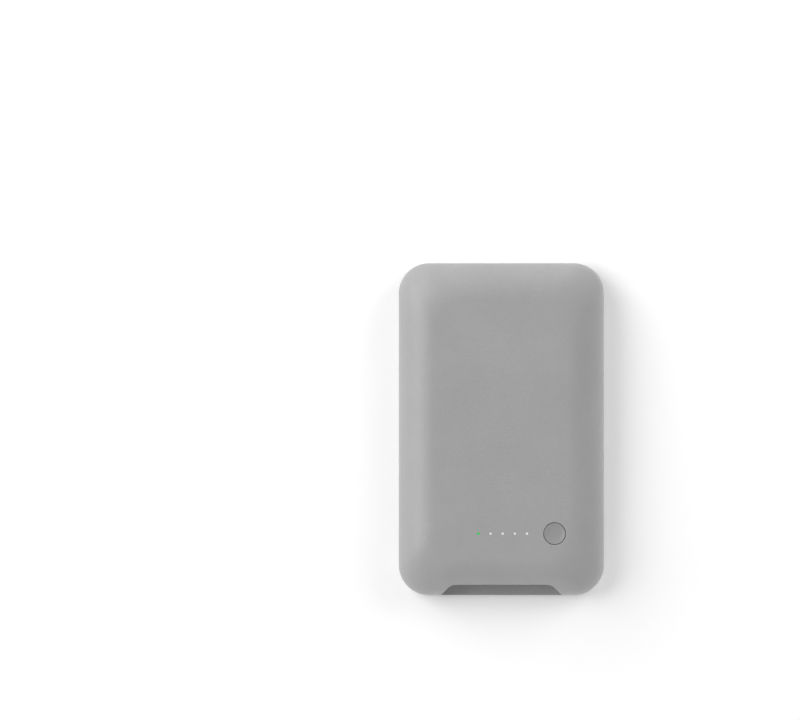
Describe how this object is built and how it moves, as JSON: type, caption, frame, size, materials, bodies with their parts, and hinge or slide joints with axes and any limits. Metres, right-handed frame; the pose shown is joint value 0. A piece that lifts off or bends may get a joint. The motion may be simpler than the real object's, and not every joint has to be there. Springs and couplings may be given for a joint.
{
  "type": "magnetic power bank",
  "caption": "Flat pocket battery with a crowned front, a push button beside a row of charge lights, a port bay in one end, and a flat magnetic face that clings to a phone.",
  "frame": {"origin": "middle of the flat magnetic face, which the part lies on", "axes": "+Z out of the crowned front, +Y along the length away from the port bay, +X to the button's side"},
  "size_m": [0.0676, 0.1094, 0.015],
  "materials": {
    "shell_plastic": "fine matte moulded texture",
    "cover_plastic": "fine matte moulded texture",
    "button_plastic": "satin moulded",
    "clear_acrylic": "clear, lit from below",
    "led_package": "phosphor under clear resin",
    "board_laminate": "green solder mask",
    "socket_steel": "drawn stainless",
    "socket_insulator": "black moulded",
    "contact_gold": "thin gold plate",
    "switch_plastic": "black moulded",
    "plunger_plastic": "natural moulded",
    "chip_epoxy": "black moulded",
    "capacitor_ceramic": "fired tan",
    "choke_ferrite": "pressed dark grey",
    "copper_wire": "enamelled copper",
    "ferrite_sheet": "sintered dark grey",
    "magnet_nickel": "nickel plate",
    "insulation_sheet": "black film",
    "pouch_foil": "laminated foil",
    "tab_nickel": "nickel strip",
    "lead_red": "silicone sleeve",
    "lead_black": "silicone sleeve",
    "foam": "closed-cell foam"
  },
  "bodies": {
    "housing": {"front_shell": "shell_plastic", "rear_cover": "cover_plastic", "switch_base": "switch_plastic", "light_guide": "clear_acrylic", "indicator_leds": "led_package", "main_board": "board_laminate", "socket_shell": "socket_steel", "socket_tongue": "socket_insulator", "socket_contacts": "contact_gold", "coil_driver_chip": "chip_epoxy", "charge_controller_chip": "chip_epoxy", "bridge_transistors": "chip_epoxy", "resonant_capacitors": "capacitor_ceramic", "filter_capacitors": "capacitor_ceramic", "power_inductor": "choke_ferrite", "charging_coil": "copper_wire", "coil_leads": "copper_wire", "ferrite_sheet": "ferrite_sheet", "magnet_ring": "magnet_nickel", "bar_magnet": "magnet_nickel", "insulation_pad": "insulation_sheet", "battery_cell": "pouch_foil", "protection_board": "board_laminate", "protection_chips": "chip_epoxy", "battery_tabs": "tab_nickel", "battery_lead_positive": "lead_red", "battery_lead_negative": "lead_black", "battery_foam": "foam"},
    "button": {"power_button": "button_plastic", "switch_plunger": "plunger_plastic"}
  },
  "joints": [
    {"name": "button_press", "type": "slide", "parent": "housing", "child": "button", "axis": [0, 0, -1], "range_m": [0, 0.0004], "stiffness_N_per_m": 4000}
  ]
}
